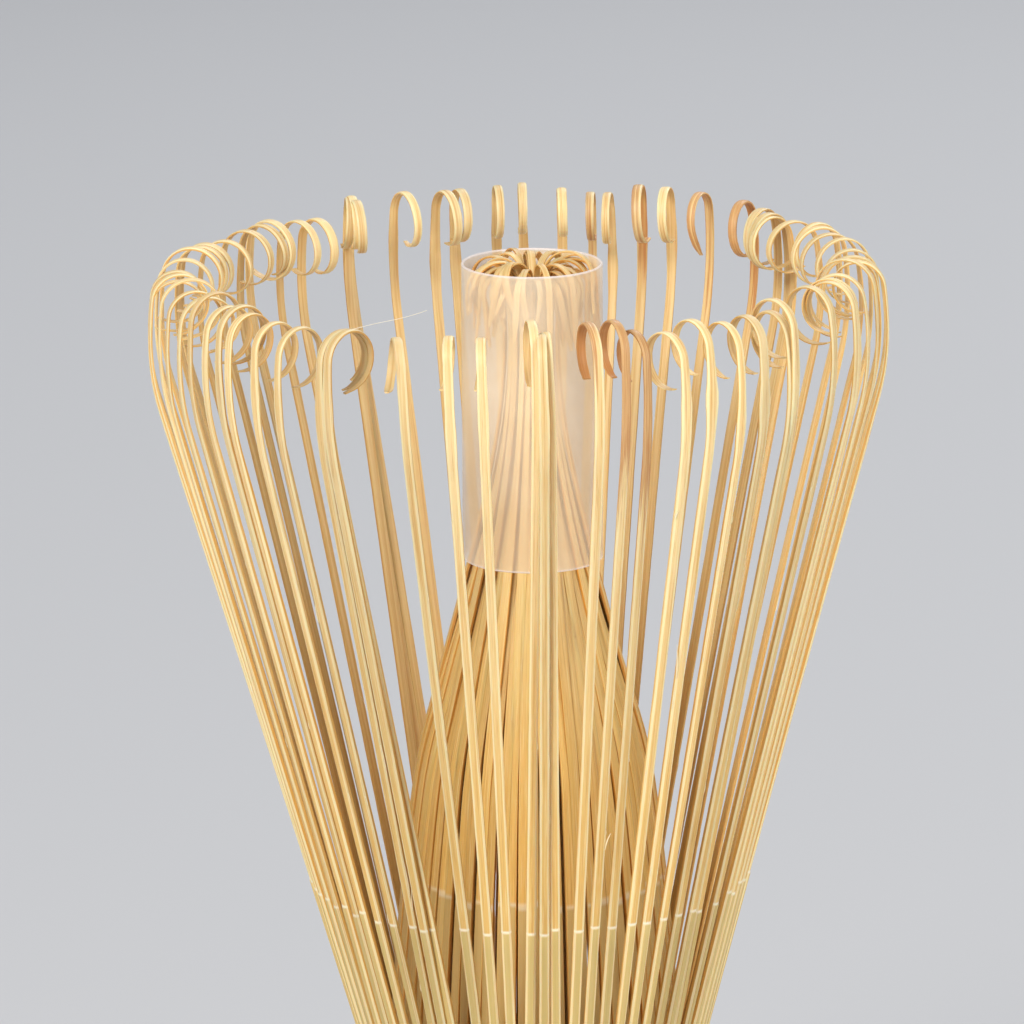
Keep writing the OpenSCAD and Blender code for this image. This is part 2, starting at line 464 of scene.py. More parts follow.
# The look of single curls, by sector and tine: how far the tine strays round the ring in degrees, the
# yaw and tilt of its curl in degrees, the curl's radius in mm, how far it turns in degrees, the length of
# the straighter end after it, how much longer the tine is, and how much it flares below the curl in mm.
CURLS = {
    # Front, from left to right
    (11, 1): (0.2, 2, 6, 2.35, 256, 0.9, -0.3, 0.1), (11, 2): (-0.5, -2, 6, 2.4, 252, 0.8, 0.0, 0.2),
    (11, 3): (-3.0, 0, 5, 2.35, 252, 1.0, -0.4, 0.05), (11, 4): (-2.0, -3, 4, 2.35, 250, 0.9, -0.9, 0.2),
    (12, 1): (-2.9, -8, 3, 2.4, 250, 0.9, -0.9, 0.1), (12, 2): (0.1, -17, 1, 2.4, 238, 1.0, -0.7, 0.1),
    (12, 3): (-2.8, -16, 1, 2.4, 236, 1.5, -0.6, 0.1), (12, 4): (-9.6, -15, 3, 2.2, 224, 0.5, -1.2, 0.0),
    (13, 1): (-0.7, 18, 6, 2.1, 260, 1.0, -0.5, 0.0), (13, 2): (1.6, 3, 4, 2.0, 255, 1.2, -0.2, 0.1),
    (13, 3): (1.9, 2, 3, 2.0, 255, 1.2, -0.3, 0.1), (13, 4): (4.9, 4, 1, 2.55, 235, 1.2, 0.1, -0.1),
    (14, 1): (0.5, -4, 1, 2.1, 260, 1.5, 0.0, 0.1), (14, 2): (-3.0, -4, 2, 2.0, 255, 1.2, -0.2, 0.0),
    (14, 3): (-0.5, 4, 0, 2.4, 218, 0.8, 0.3, 0.0), (14, 4): (-1.3, 9, -3, 2.4, 228, 0.8, 0.4, 0.0),
    (15, 1): (-3.3, 12, -4, 2.25, 226, 0.4, -0.5, 0.0),
    (15, 2): (-1.7, 14, -1.5, 2.25, 256, 1.0, -0.9, 0.1),
    (15, 3): (-2.3, 10, -2, 2.2, 256, 0.4, 0.0, 0.35), (15, 4): (-1.3, 2, -3, 2.25, 258, 0.4, -0.7, 0.2),
    (16, 1): (-2.5, -4, -4, 2.35, 260, 0.5, -0.8, 0.4), (16, 2): (-1.7, -4, -5, 2.3, 258, 0.6, -0.7, 0.1),
    (16, 3): (-5.6, 0, -6, 2.4, 262, 1.0, 0.1, 0.1), (16, 4): (-0.6, -3, -7, 2.4, 258, 1.2, 0.3, 0.0),
    # Back, from left to right
    (7, 1): (-0.3, -1, 1, 2.3, 262, 1.2, -0.7, 0.0), (6, 4): (0.9, -2, 1, 2.3, 262, 1.0, -0.9, 0.0),
    (6, 3): (-2.6, -20, 3, 2.2, 250, 1.2, 0.1, 0.1), (6, 2): (1.2, -20, 2, 2.2, 250, 1.5, 0.5, 0.1),
    (6, 1): (5.0, -20, -2, 2.1, 250, 1.5, 0.6, 0.0),
    (5, 4): (3.4, 3, 3, 2.3, 255, 1.5, 0.3, 0.1), (5, 3): (1.2, 8, 2, 2.3, 250, 1.5, 0.2, 0.2),
    (5, 2): (2.3, 10, -2, 2.2, 255, 1.5, 0.3, 0.2), (5, 1): (0.3, 4, -1, 2.2, 250, 1.5, 0.6, 0.2),
    (4, 4): (1.7, 4, -1, 2.1, 255, 1.5, 0.6, 0.2), (4, 3): (0.2, 8, 0, 2.0, 240, 1.0, 0.3, 0.0),
    (4, 2): (-0.1, 8, 1, 2.0, 255, 1.5, 0.1, 0.0), (4, 1): (1.2, 10, -1, 2.1, 250, 1.5, 0.0, 0.2),
    (3, 4): (2.1, 10, 3, 2.4, 255, 1.5, 0.5, 0.1), (3, 3): (1.6, 12, 2, 2.3, 250, 1.5, 0.6, 0.2),
    (3, 2): (-0.4, 5, 4, 2.3, 190, 2.4, 0.5, 0.0), (3, 1): (-4.6, 14, 1, 2.3, 255, 1.4, 0.3, 0.1),
    (2, 4): (-4.2, 10, 1, 2.3, 258, 1.2, 0.0, 0.1), (2, 3): (-2.2, 5, 1, 2.3, 255, 1.0, -0.3, 0.1),
    # At the sides, next to these
    (7, 4): (-0.6, 2, 2, 2.3, 262, 0.8, -0.4, 0.1), (8, 1): (0.4, 2, 2, 2.25, 250, 1.4, -0.6, 0.0),
    (17, 1): (0.4, -3, -6, 2.3, 256, 0.8, 0.0, 0.1), (1, 1): (0.6, 4, 2, 2.3, 260, 0.6, -0.2, 0.1),
    (18, 4): (-0.6, 3, 1, 2.2, 252, 1.0, -0.5, 0.1),
}
# Tines that stand behind a neighbour lean out less, by so many degrees
TUCKED = {(6, 3): 0.8, (12, 4): 1.5, (13, 4): 0.7, (14, 1): -0.2, (14, 2): 0.4}
# How far each stained tine has browned, and how far from its tip that goes before it fades in mm
STAINS = {
    (14, 3): (0.9, 1), (14, 4): (1.0, 13), (15, 1): (0.85, 15), (15, 2): (0.15, 12),
    (3, 1): (0.9, 10), (3, 2): (0.5, 10), (3, 4): (0.4, 12), (4, 2): (0.35, 14),
}
# Torn fibres that stand off a tine, by sector and tine: height above the neck in mm, side, length in mm,
# width in mm, and how far they curve away in degrees
SHREDS = {
    (12, 2): [(34.0, -1, 7.5, 0.07, 24), (24.0, -1, 4.0, 0.2, 8), (22.6, -1, 2.6, 0.12, -10)],
    (12, 3): [(56.5, 1, 1.4, 0.07, 40), (49.0, -1, 1.1, 0.1, 12)],
    (12, 1): [(47.5, 1, 1.6, 0.12, 10)],
    (13, 2): [(68.5, 1, 0.8, 0.18, 14), (51.0, -1, 1.5, 0.1, 10)],
    (14, 4): [(30.0, -1, 1.2, 0.24, 30), (28.6, -1, 1.6, 0.3, -24)],
    (15, 2): [(44.5, -1, 1.2, 0.1, 18), (67.0, 1, 1.0, 0.3, 50)],
    (15, 3): [(42.5, 1, 3.2, 0.2, -6), (40.0, 1, 1.8, 0.1, 10)],
    (15, 4): [(55.0, -1, 1.0, 0.1, 20)],
    (16, 1): [(48.0, -1, 5.0, 0.1, 5), (57.5, -1, 1.2, 0.1, 26)],
}
# The tine that has a long stray hair on its curl
HAIRY = (12, 3)


def shred(bundle, rings, height, side, length, width, curve):
    """A torn fibre that is still joined at its foot."""
    place, across, face, along = min(rings, key=lambda ring: abs(ring[0].z - neck_z - height * MM))
    heading = face.cross(across) * -1
    start = place + across * (side * 0.36 * MM) + face * 0.1 * MM
    pen = Pen(start, heading + across * (side * 0.06), face)
    pen.go(length * MM, side * -curve, 8)
    total = pen.along

    def section(place, along):
        taper = min(1.0, 0.35 + along / total * 4) * (1 - 0.85 * (along / total) ** 3)
        return Section(width * MM * taper, 0.06 * MM * taper, ledge=0.6)

    bundle.strip(pen.rings, section, SHRED, 1.0, (0.0, 0.0))


def loose_hair(bundle, place):
    """A long fine hair that strays sideways off the top of a curl."""
    pen = Pen(place, Vector((1, 0.1, 0.26)), Vector((0, 1, 0)))
    pen.go(3.2 * MM, 6, 6)
    pen.go(3.2 * MM, -9, 6)

    def section(place, along):
        return Section(0.045 * MM, 0.04 * MM, ledge=1.0)

    bundle.strip(pen.rings, section, SHRED, 1.0, (0.0, 0.0))


def root_pen(azimuth, tip_azimuth, radius_at_root, first_heading):
    """A pen at a tine's root, aimed so that the tine reaches its tip's azimuth 60 mm up."""
    sideways = polar(1, tip_azimuth + 90)
    root = polar(radius_at_root, azimuth, neck_z - 0.6 * MM)
    slip = -root.dot(sideways) / (60 * MM)
    heading = Matrix.Rotation(math.radians(first_heading), 3, sideways) @ UP + sideways * slip
    return Pen(root, heading, -sideways)


def curl_look(sector, tine):
    """What CURLS says, or else random values of the same kind. The values are drawn in both cases."""
    usual = (chance(-0.7, 0.7), chance(-7, 7), chance(-5, 5), chance(2.1, 2.5), chance(240, 268),
             chance(0.3, 2.2), chance(-1.0, 0.2), random.choice((0.0, 0.1, 0.3)))
    return Curl(*CURLS.get((sector, tine), usual))


def straight_stretch(pen, stretch, wild):
    """The faint wander that split bamboo keeps. Gives how far along the step is, and the bend so far."""
    step_at = (step_z + chance(-0.35, 0.35) * MM - pen.place.z) / pen.heading.z
    step_along = pen.along + step_at
    sway = chance(-0.5, 0.5) * wild
    bow = chance(-0.6, 0.6) * wild
    # Length, rings and sway: up to the peeled step, the step itself in two, and on from it
    parts = (
        (step_at - LEDGE, 12, sway * 0.5), (LEDGE, 1, 0.0), (LEDGE, 1, 0.0),
        (stretch - step_at - LEDGE, 30, sway * -0.25),
    )
    total = sum(steps for _, steps, _ in parts)
    for length, steps, turn in parts:
        pen.go(length, bow * steps / total, steps)
        pen.tilt(turn)
    return step_along, bow


def draw_curl(pen, look, lean, wild):
    """Upright by a slow bend, then over towards the axis and round."""
    for _ in range(3):
        pen.go(1.8 * MM, lean / 3, 2)
        pen.tilt(look.tilt / 6)
    pen.yaw(look.yaw * 0.4)
    pen.go(3.6 * MM, chance(6, 11), 4, look.yaw * 0.6)
    pen.tilt(look.tilt / 2)
    pen.go(math.radians(look.turn) * look.radius * MM, look.turn, 26, chance(-12, 12) * wild)
    pen.go(look.end * MM, chance(14, 30), 6)


def outer_section(look, total, step_along, stain_of):
    """Gives the function that says how wide, thick, peeled and stained a tine is along its length."""
    low_w, top_w = chance(0.78, 0.9) * MM, chance(0.7, 0.86) * MM
    curl_t = chance(0.16, 0.24) * MM
    flare_at = total - chance(14, 16.5) * MM
    point = random.choice((0.5, 0.75, 0.9))
    stain_most, stain_from = STAINS.get(stain_of, (chance(0, 0.1), 20))

    def section(place, along):
        left = total - along
        w = mix(low_w, top_w, smooth(along / (60 * MM)))
        w += look.flare * MM * math.exp(-((along - flare_at) / (1.7 * MM)) ** 2)
        w *= mix(0.9, 1.0, smooth(left / (9 * MM)))
        w *= mix(point, 1.0, smooth(left / (1.3 * MM))) * chance(0.965, 1.02)
        body = mix(0.42 * MM, 0.36 * MM, along / (62 * MM))
        t = mix(body, curl_t, smooth((along - 60 * MM) / (9 * MM))) * mix(0.6, 1.0, smooth(left / (5 * MM)))
        below = along < step_along - LEDGE / 2
        at_step = abs(along - step_along) < LEDGE / 2
        stain = stain_most * smooth(1 - (left / MM - stain_from) / 16)
        lift = PEEL if below else 0.0
        return Section(w, t, lift=lift, stain=stain, rind=float(below), ledge=float(at_step))

    return section


def outer_tine(bundle, sector, tine):
    """One outer tine, with its curl and its torn fibres."""
    random.seed(100 * sector + tine)
    look = curl_look(sector, tine)
    # A tine that CURLS describes wanders less
    wild = 0.2 if (sector, tine) in CURLS else 1.0
    root_a = tine_angle(sector, tine)
    pen = root_pen(root_a, root_a + look.stray, outer_root_r, 2)
    lean = OUTER_LEAN + chance(-0.3, 0.3) * wild - TUCKED.get((sector, tine), 0.0)
    pen.go(0.9 * MM)
    pen.go(3 * MM, 2 - lean, 4)
    stretch = (STRAIGHT + look.longer) * MM
    step_along, bow = straight_stretch(pen, stretch, wild)
    draw_curl(pen, look, lean - bow, wild)
    section = outer_section(look, pen.along, step_along, (sector, tine))
    # How deep the painted shade is on each side of this tine
    painted_side_shades = (chance(0.15, 1.0), chance(0.15, 1.0))
    bundle.strip(pen.rings, section, SHAVED, random.random(), painted_side_shades)
    straight = [ring for ring in pen.rings if ring[3] < stretch]
    for _ in range(random.choice((0, 1, 1, 2))):
        side = random.choice((-1, 1))
        shred(bundle, straight, chance(6, 60), side, chance(0.5, 1.5), chance(0.05, 0.12), chance(5, 30))
    for torn in SHREDS.get((sector, tine), ()):
        shred(bundle, straight, *torn)
    if (sector, tine) == HAIRY:
        loose_hair(bundle, max(pen.rings, key=lambda ring: ring[0].z)[0])


def make_outer_tines(material):
    for sector in range(1, sectors + 1):
        bundle = Bundle()
        for tine in range(1, tines_per_sector + 1):
            outer_tine(bundle, sector, tine)
        made = bundle.make(f"curled_outer_tines_{sector:02d}", material)
        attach(made, f"outer_sector_{sector:02d}")
        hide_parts(f"outer_tines_{sector:02d}")


# ---- Inner tines ----

def inner_path(sector, tine):
    """Drawn upright; the whole bundle is leaned afterwards. The tines close in on three levels."""
    root_a = tine_angle(sector, tine) + sector_step / tines_per_sector / 2
    level = (tines_per_sector * sector + tine) % 3 + chance(-0.3, 0.3)
    pen = root_pen(root_a, root_a + chance(-3, 3), inner_root_r, 0)
    pen.go(1.3 * MM, 1.5)
    squeeze = 6.3 + chance(-0.4, 0.4)
    # The rings stand closer together where the rind ends
    for length, steps in ((17, 6), (6.8, 24), (4, 2)):
        pen.go(length * MM, squeeze * length / 27.8, steps)
    pen.go(6 * MM, 7.5 + 0.8 * level, 4)
    pen.go(13.2 * MM, 0.3 * level, 4)
    # On to the waist inside the sleeve, then up and outward to its rim like a fountain
    pen.go(9.4 * MM, -4, 4)
    pen.go(8 * MM, -8.3 - 1.1 * level, 6)
    pen.go((5.6 + 0.65 * level + chance(-0.4, 0.7)) * MM, -10, 4, chance(-16, 16))
    pen.tilt(chance(-11, 11))
    curl_r = (1.4 + 0.34 * level) * chance(0.72, 1.0)
    pen.go(math.radians(176) * curl_r * MM, -176 + chance(-8, 8), 16, chance(-22, 22))
    pen.go(chance(0.8, 5.0) * MM, chance(-12, 8), 6, chance(-20, 20))
    return pen


def inner_section(total):
    """Gives the function that says how wide, thick and peeled a tine is along its length."""
    low_w, mid_w, tip_w = chance(0.68, 0.78) * MM, chance(0.76, 0.88) * MM, chance(0.42, 0.62) * MM
    step_at = step_z + chance(-0.3, 0.5) * MM

    def section(place, along):
        w = mix(low_w, mid_w, smooth(along / (20 * MM)))
        w = mix(w, tip_w, smooth((along - 46 * MM) / (14 * MM)))
        w *= mix(0.5, 1.0, smooth((total - along) / (2 * MM))) * chance(0.97, 1.02)
        t = mix(0.42 * MM, 0.16 * MM, smooth((along - 15 * MM) / (50 * MM)))
        at_step = abs(place.z - step_at) < 0.2 * MM
        return Section(w, t, rind=float(place.z < step_at), ledge=0.45 if at_step else 0.0)

    return section


def inner_tine(bundle, sector, tine):
    random.seed(5000 + 100 * sector + tine)
    pen = inner_path(sector, tine)
    section = inner_section(pen.along)
    # How deep the painted shade is on each side of this tine
    painted_side_shades = (chance(0.3, 1.0), chance(0.3, 1.0))
    bundle.strip(pen.rings, section, SPLIT, random.random(), painted_side_shades)


def make_inner_tines(material):
    lean = lean_matrix()
    for sector in range(1, sectors + 1):
        bundle = Bundle()
        for tine in range(1, tines_per_sector + 1):
            inner_tine(bundle, sector, tine)
        made = bundle.make(f"gathered_inner_tines_{sector:02d}", material, lean)
        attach(made, "whisk")
        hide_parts(f"inner_tines_{sector:02d}")


# ---- Turned shapes ----

def lathe(name, profile, azimuths, material, shape=None, matrix=None, closed=True):
    """Turns a profile of (radius, height) round +Z. shape(r, z, azimuth) may move each point.

    A profile that isn't closed gets a flat cap at each end.
    """
    count = len(profile)
    points = []
    for azimuth in azimuths:
        for r, z in profile:
            point = shape(r, z, azimuth) if shape else polar(r, azimuth, z)
            points.append(matrix @ point if matrix else point)
    faces = []
    for turn in range(len(azimuths)):
        low, high = turn * count, (turn + 1) % len(azimuths) * count
        for i in range(count if closed else count - 1):
            j = (i + 1) % count
            faces.append((low + i, high + i, high + j, low + j))
    if not closed:
        faces.append(tuple(turn * count for turn in range(len(azimuths))))
        faces.append(tuple(turn * count + count - 1 for turn in reversed(range(len(azimuths)))))
    return new_object(name, points, faces, material)


def point_floats(made, key, values):
    made.data.attributes.new(key, "FLOAT", "POINT").data.foreach_set("value", values)


def evenly(count):
    """Azimuths spread evenly round the axis."""
    return [360 * i / count for i in range(count)]


# ---- Handle ----

# Outline of the node: height above its middle and how far it stands out, both in mm. The upper ridge is
# where the node swells, and the lower one is the scar of the sheath, with a groove between them.
NODE_SWELL = (
    (-1.9, 0.12), (-1.5, 0.26), (-1.2, 0.36), (-0.95, 0.3), (-0.7, 0.08), (-0.45, -0.02), (-0.15, 0.1),
    (0.2, 0.32), (0.6, 0.5), (1.0, 0.58), (1.4, 0.54), (1.9, 0.4), (2.5, 0.22), (3.2, 0.08), (4.0, 0.0),
)
HALF_PARTITION = 1.2 * MM


def culm_r(z):
    """Outer radius of the culm at a height, without its node."""
    return mix(rim_r, neck_r, z / neck_z)


def culm_outline():
    """From the partition's underside, round the rim, up the outside and down the inside to its top."""
    under = node_z - HALF_PARTITION
    over = node_z + HALF_PARTITION
    low = [(0.5 * MM, under - 0.15 * MM), (5 * MM, under), (bore_r - 0.8 * MM, under)]
    low += [(bore_r - 0.2 * MM, under - 0.2 * MM), (bore_r, under - 0.8 * MM)]
    low += [(bore_r, z * MM) for z in (10, 6, 2, 0.3)]
    rim = [(bore_r + 0.25 * MM, 0.02 * MM), (bore_r + 1.2 * MM, 0.0), (rim_r - 1.2 * MM, 0.0)]
    rim += [(rim_r - 0.4 * MM, 0.03 * MM), (rim_r - 0.12 * MM, 0.14 * MM)]
    outer = [(culm_r(z * MM), z * MM) for z in (0.35, 0.8, 2, 4, 6, 8, 9.5, 10.8, 11.8, 12.6)]
    outer += [(culm_r(node_z) + r * MM, node_z + z * MM) for z, r in NODE_SWELL]
    outer += [(culm_r(z * MM), z * MM) for z in (21, 24, 28, 32, 36, 39, 40.5, 41.3, 42, 42.6, 43.2, 43.7)]
    top_r = inner_root_r - 0.3 * MM
    neck = [(neck_r - 0.08 * MM, neck_z - 0.04 * MM), (neck_r - 0.3 * MM, neck_z), (top_r, neck_z)]
    inside = [(top_r, neck_z - 2 * MM), (bore_r, neck_z - 9 * MM), (bore_r, 30 * MM), (bore_r, 22 * MM)]
    inside += [(bore_r, over + 0.9 * MM), (bore_r - 0.3 * MM, over + 0.2 * MM)]
    inside += [(bore_r - 1.0 * MM, over), (5 * MM, over), (0.5 * MM, over + 0.1 * MM)]
    return low, rim, outer, neck, inside


def split_azimuths():
    """Three azimuths at each gap between tines, where the culm's wall is split, and one in between."""
    found = []
    for sector, tine in all_tines():
        here = tine_angle(sector, tine)
        gap = (here + next_angle(sector, tine)) / 2
        found += [here, gap - 0.5, gap, gap + 0.5]
    return found


def culm_shape(gaps):
    """Gives the function that makes the turned culm oval, dips its node and splits its neck."""
    # The middle of the partition stays as it was turned
    core_r = 6 * MM

    def shape(r, z, azimuth):
        a = math.radians(azimuth)
        free = 1 - smooth((z - 28 * MM) / (14 * MM))
        oval = 0.1 * math.cos(2 * a + 1) + 0.05 * math.cos(3 * a + 2.2) + 0.02 * math.cos(11 * a)
        if r > core_r:
            r += oval * free * MM
        if core_r < r < bore_r + 1 * MM:
            r += (0.08 * math.sin(9 * a + z / MM) + 0.06 * math.sin(23 * a + 1)) * free * MM
        if azimuth in gaps and r > neck_r - 1 * MM:
            r -= 0.3 * MM * smooth((z - neck_z + 3.4 * MM) / (3.4 * MM))
        # The node dips where a branch once stood
        dip = math.exp(-((azimuth - 130) / 16) ** 2)
        if r > rim_r - 1 * MM and abs(z - node_z) < 3 * MM:
            r -= 0.25 * MM * dip
            z += 0.5 * MM * dip
        return polar(r, azimuth, z)

    return shape


def culm_crease_shade(z, at_gap):
    """How deep the painted shade is in the splits at the neck and in the groove of the node."""
    split = smooth((z - neck_z + 3.4 * MM) / (1.4 * MM)) if at_gap else 0.0
    groove = math.exp(-((z - node_z + 0.5 * MM) / (0.22 * MM)) ** 2)
    return max(split, groove * 0.8)


def make_culm():
    low, rim, outer, neck, inside = culm_outline()
    profile = low + rim + outer + neck + inside
    kinds = ["hollow"] * len(low) + ["sawn"] * len(rim) + ["skin"] * len(outer)
    kinds += ["sawn"] * len(neck) + ["hollow"] * len(inside)
    azimuths = split_azimuths()
    gaps = set(azimuths[2::4])
    made = lathe("bamboo_culm_handle", profile, azimuths, culm_material(), culm_shape(gaps), closed=False)
    crease_shade, sawn, hollow = [], [], []
    for azimuth in azimuths:
        for (_, z), kind in zip(profile, kinds):
            sawn.append(float(kind == "sawn"))
            hollow.append(float(kind == "hollow"))
            crease_shade.append(culm_crease_shade(z, azimuth in gaps) if kind == "skin" else 0.0)
    point_floats(made, "crease_shade", crease_shade)
    point_floats(made, "sawn", sawn)
    point_floats(made, "hollow", hollow)
    made.data.set_sharp_from_angle(angle=math.radians(40))
    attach(made, "whisk")
    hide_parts("handle")


# ---- Thread ----

thread_r = 0.19 * MM
weave_rounds = 5
weave_step = 0.4 * MM
weave_z = neck_z + 1.55 * MM


def thread_material():
    """Two-ply cotton, with the fuzz of its fibres."""
    material, tree, shader = new_material("binding_thread")
    twist = attribute(tree, "twist", vector=True)
    plies = noise(tree, twist, (1.2, 1.2, 0.5), detail=3.0, rough=0.7)
    fluff = noise(tree, twist, (9.0, 9.0, 2.0), detail=3.0, rough=0.7)
    base = blend(tree, span(tree, plies, 0.3, 0.7), colour(24, 22, 26), colour(48, 44, 48))
    base = blend(tree, span(tree, fluff, 0.58, 0.74, 0.0, 0.6), base, colour(96, 90, 92))
    tree.links.new(base, shader.inputs["Base Color"])
    tree.links.new(span(tree, fluff, 0.3, 0.7, 0.7, 0.95), shader.inputs["Roughness"])
    relief(tree, shader, fluff, 0.02 * MM, 0.6)
    shader.inputs["Sheen Weight"].default_value = 0.35
    shader.inputs["Sheen Roughness"].default_value = 0.4
    return material


def through(knots, parts, closed):
    """A Catmull-Rom curve through the knots, with so many parts between each two."""
    count = len(knots)
    found = []
    for i in range(count if closed else count - 1):
        if closed:
            a, b, c, d = (knots[(i + k) % count] for k in (-1, 0, 1, 2))
        else:
            a, b, c, d = (knots[min(count - 1, max(0, i + k))] for k in (-1, 0, 1, 2))
        for part in range(parts):
            t = part / parts
            found.append(0.5 * (2 * b + (c - a) * t + (2 * a - 5 * b + 4 * c - d) * t * t
                                + (3 * b - a - 3 * c + d) * t * t * t))
    if not closed:
        found.append(knots[-1])
    return found


class Yarn:
    """Gathers twisted threads into one mesh."""

    SIDES = 10

    def __init__(self):
        self.points = []
        self.faces = []
        self.twist = []

    def run(self, path, thick, closed):
        first = len(self.points)
        count = len(path)
        along = 0.0
        aside = Vector((0.3, 0.2, 1)).normalized()
        for i, place in enumerate(path):
            before = path[i - 1] if i or closed else place
            after = path[(i + 1) % count] if closed or i < count - 1 else place
            heading = (after - before).normalized()
            aside = (aside - heading * aside.dot(heading)).normalized()
            up = heading.cross(aside)
            turn = 2 * math.pi * along / (5.2 * thick)
            for side in range(self.SIDES):
                a = 2 * math.pi * side / self.SIDES
                reach = thick * (0.86 + 0.16 * math.cos(2 * (a - turn)))
                self.points.append(place + (aside * math.cos(a) + up * math.sin(a)) * reach)
                self.twist.append((math.cos(2 * (a - turn)), math.sin(a - turn), along / MM))
            along += (after - place).length
        for i in range(count if closed else count - 1):
            low, high = first + i * self.SIDES, first + (i + 1) % count * self.SIDES
            for side in range(self.SIDES):
                other = (side + 1) % self.SIDES
                self.faces.append((low + side, low + other, high + other, high + side))
        if not closed:
            self.faces.append(tuple(first + side for side in reversed(range(self.SIDES))))
            last = first + (count - 1) * self.SIDES
            self.faces.append(tuple(last + side for side in range(self.SIDES)))

    def make(self, name, material):
        made = new_object(name, self.points, self.faces, material)
        made.data.attributes.new("twist", "FLOAT_VECTOR", "POINT").data.foreach_set(
            "vector", [x for v in self.twist for x in v])
        return made


def outer_coat_r(z):
    """Radius of the outer tines' middle just above the neck, where they begin to lean out."""
    above = max(0.0, z - neck_z - 0.3 * MM)
    return outer_root_r + 0.03 * MM + 0.113 * above + 22 * above ** 2


def woven_round(number):
    """One round of thread: over one tine, under the next."""
    z = weave_z + number * weave_step
    coat_r = outer_coat_r(z)
    swing = 0.21 * MM + thread_r
    knots = []
    for count, (sector, tine) in enumerate(all_tines()):
        here = tine_angle(sector, tine)
        way = 1 if (count + number) % 2 else -1
        wave = 0.05 * MM * math.sin(2.4 * count + number)
        knots.append(polar(coat_r + way * swing, here, z + wave))
        knots.append(polar(coat_r, (here + next_angle(sector, tine)) / 2, z + wave / 2))
    return through(knots, 4, True)


def knot_path():
    """A small overhand knot at the back."""
    middle = Vector((0, outer_coat_r(weave_z) + 0.9 * MM, weave_z + 0.7 * MM))
    path = []
    for i in range(40):
        t = 2 * math.pi * i / 40
        x = math.sin(t) + 2 * math.sin(2 * t)
        z = math.cos(t) - 2 * math.cos(2 * t)
        path.append(middle + Vector((x * 0.34, -math.sin(3 * t) * 0.22, z * 0.28)) * MM)
    return path


def knot_end(side):
    """One end of the thread, hanging from the knot."""
    foot = Vector((side * 0.3 * MM, outer_coat_r(weave_z) + 0.8 * MM, weave_z + 0.4 * MM))
    steps = ((0, 0, 0), (0.7, 0.25, -0.4), (1.1, 0.1, -1.3), (1.0, -0.15, -2.3), (1.4, -0.3, -3.1))
    return through([foot + Vector((side * x, y, z)) * MM for x, y, z in steps], 6, False)


def make_thread():
    material = thread_material()
    yarn = Yarn()
    for number in range(weave_rounds):
        yarn.run(woven_round(number), thread_r, True)
    yarn.run(knot_path(), 0.2 * MM, True)
    for side in (-1, 1):
        yarn.run(knot_end(side), 0.17 * MM, False)
    woven = yarn.make("woven_binding_thread", material)
    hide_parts("binding_thread")
    inner = Yarn()
    inner.run([polar(neck_r - 0.6 * MM, a, neck_z + 1.1 * MM) for a in evenly(540)], 0.13 * MM, True)
    spacer = inner.make("spacing_thread_between_coats", material)
    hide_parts("spacing_thread")
    for made in (woven, spacer):
        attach(made, "whisk")


# ---- Sleeve ----

def sleeve_material():
    """Milky film, brighter at its cut ends."""
    material, tree, shader = new_material("frosted_film")
    place = add(tree, "ShaderNodeTexCoord").outputs["Object"]
    clouds = noise(tree, place, (1, 1, 0.6), scale=150, detail=3.0)
    grain = noise(tree, place, (1, 1, 1), scale=5200, detail=2.0)
    base = blend(tree, span(tree, clouds, 0.3, 0.7), colour(236, 216, 184), colour(248, 234, 210))
    rim = attribute(tree, "rim")
    base = blend(tree, rim, base, colour(244, 236, 232))
    tree.links.new(base, shader.inputs["Base Color"])
    film = span(tree, clouds, 0.3, 0.7, 0.34, 0.42)
    tree.links.new(maths(tree, "MAXIMUM", film, maths(tree, "MULTIPLY", rim, 0.6)), shader.inputs["Alpha"])
    tree.links.new(span(tree, grain, 0.2, 0.8, 0.36, 0.52), shader.inputs["Roughness"])
    relief(tree, shader, grain, 0.02 * MM, 0.25)
    shader.inputs["IOR"].default_value = 1.45
    return material


def make_sleeve():
    wall = 0.22 * MM
    edge = wall * 0.4
    inner_r = sleeve_r - wall
    top = sleeve_z + sleeve_length
    heights = [sleeve_z + edge, sleeve_z + 2.4 * edge, mix(sleeve_z, top, 0.33)]
    heights += [mix(sleeve_z, top, 0.67), top - 2.4 * edge, top - edge]
    profile = [(inner_r + edge, sleeve_z), (sleeve_r - edge, sleeve_z)]
    profile += [(sleeve_r, z) for z in heights]
    profile += [(sleeve_r - edge, top), (inner_r + edge, top)]
    profile += [(inner_r, z) for z in reversed(heights)]
    azimuths = evenly(96)
    made = lathe("frosted_tip_sleeve", profile, azimuths, sleeve_material(), matrix=lean_matrix())
    ends = [float(min(z - sleeve_z, top - z) < 1.2 * edge) for _, z in profile]
    point_floats(made, "rim", ends * len(azimuths))
    made.data.set_sharp_from_angle(angle=math.radians(50))
    # Thin frosted film scatters light on to the tines behind it and hardly shades them
    made.visible_shadow = False
    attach(made, "sleeve")
    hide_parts("inner_tip_sleeve")


# ---- Stage, light and camera ----

def floor_material():
    material, _, shader = new_material("pale_floor")
    shader.inputs["Base Color"].default_value = (0.6, 0.61, 0.63, 1)
    shader.inputs["Roughness"].default_value = 0.8
    return material


def make_stage():
    bpy.ops.mesh.primitive_plane_add(size=6)
    floor = bpy.context.object
    floor.name = "pale_floor"
    floor.data.materials.append(floor_material())


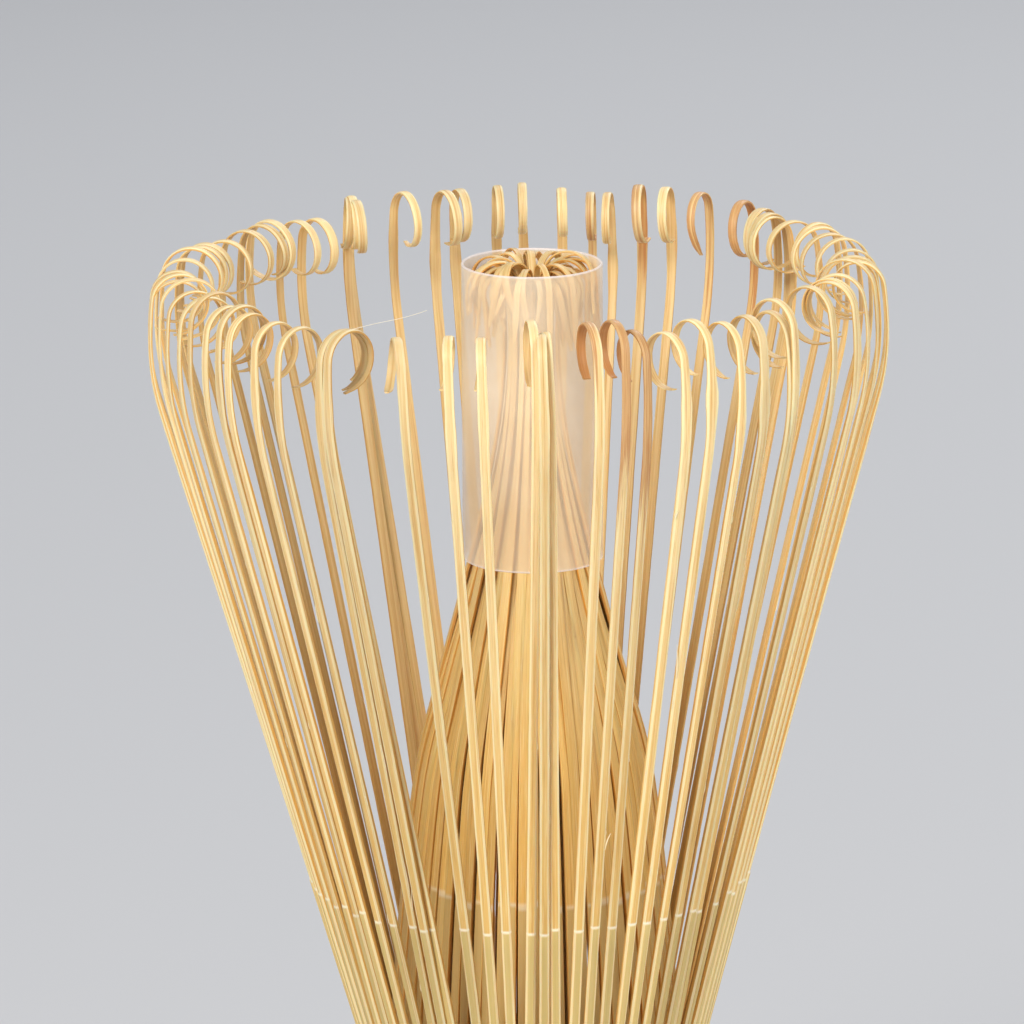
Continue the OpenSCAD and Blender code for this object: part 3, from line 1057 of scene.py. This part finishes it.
def area_light(name, place, size, power, tone=(1, 1, 1)):
    """A round lamp that is aimed at the tines."""
    data = bpy.data.lights.new(name, "AREA")
    data.shape = "DISK"
    data.size = size
    data.energy = power
    data.color = tone
    lamp = bpy.data.objects.new(name, data)
    bpy.context.scene.collection.objects.link(lamp)
    lamp.location = place
    aim = Vector((0, 0, 90 * MM)) - lamp.location
    lamp.rotation_euler = aim.to_track_quat("-Z", "Y").to_euler()


def make_light():
    world = bpy.data.worlds.new("studio")
    bpy.context.scene.world = world
    world.use_nodes = True
    world.node_tree.nodes["Background"].inputs["Color"].default_value = (0.9, 0.93, 1, 1)
    world.node_tree.nodes["Background"].inputs["Strength"].default_value = 0.3
    area_light("key", (-0.5, -0.75, 0.75), 0.45, 10.5, (1, 0.97, 0.93))
    area_light("fill", (0.8, -0.45, 0.45), 0.6, 5, (1, 0.98, 0.95))
    area_light("back", (0.2, 0.8, 0.7), 0.5, 3)


def make_camera():
    """The photograph's view: a long lens, 14 degrees down, from 0.6 m, rolled a little."""
    data = bpy.data.cameras.new("camera")
    camera = bpy.data.objects.new("camera", data)
    bpy.context.scene.collection.objects.link(camera)
    data.sensor_width = 36
    data.lens = 266
    data.clip_start = 0.05
    data.clip_end = 20
    down, roll = math.radians(14), math.radians(-1.2)
    camera.location = (-0.9 * MM, -0.6, top_z + 128 * MM)
    facing = Matrix.Rotation(math.radians(90) - down, 4, "X") @ Matrix.Rotation(roll, 4, "Z")
    camera.rotation_euler = facing.to_euler()
    bpy.context.scene.camera = camera


make_camera()
make_light()
make_stage()
# In both bamboo materials the corner colour is a painted highlight and the side colour a painted shade
outer_bamboo = tine_material(
    "outer_bamboo", tip=colour(240, 214, 158), middle=colour(232, 190, 110), bevel_highlight=colour(248, 232, 182),
    painted_side_shade=colour(216, 162, 78), rind=colour(208, 180, 110))
# Painted shade: the inner tines get a deeper, more golden copy of the outer bamboo, for they stand in the
# shade of the outer coat
inner_bamboo = tine_material(
    "inner_bamboo", tip=colour(244, 214, 152), middle=colour(234, 190, 104), bevel_highlight=colour(238, 202, 128),
    painted_side_shade=colour(216, 152, 66), rind=colour(208, 174, 104))
make_outer_tines(outer_bamboo)
make_inner_tines(inner_bamboo)
make_sleeve()
make_culm()
make_thread()
bpy.context.scene.view_settings.view_transform = "Standard"
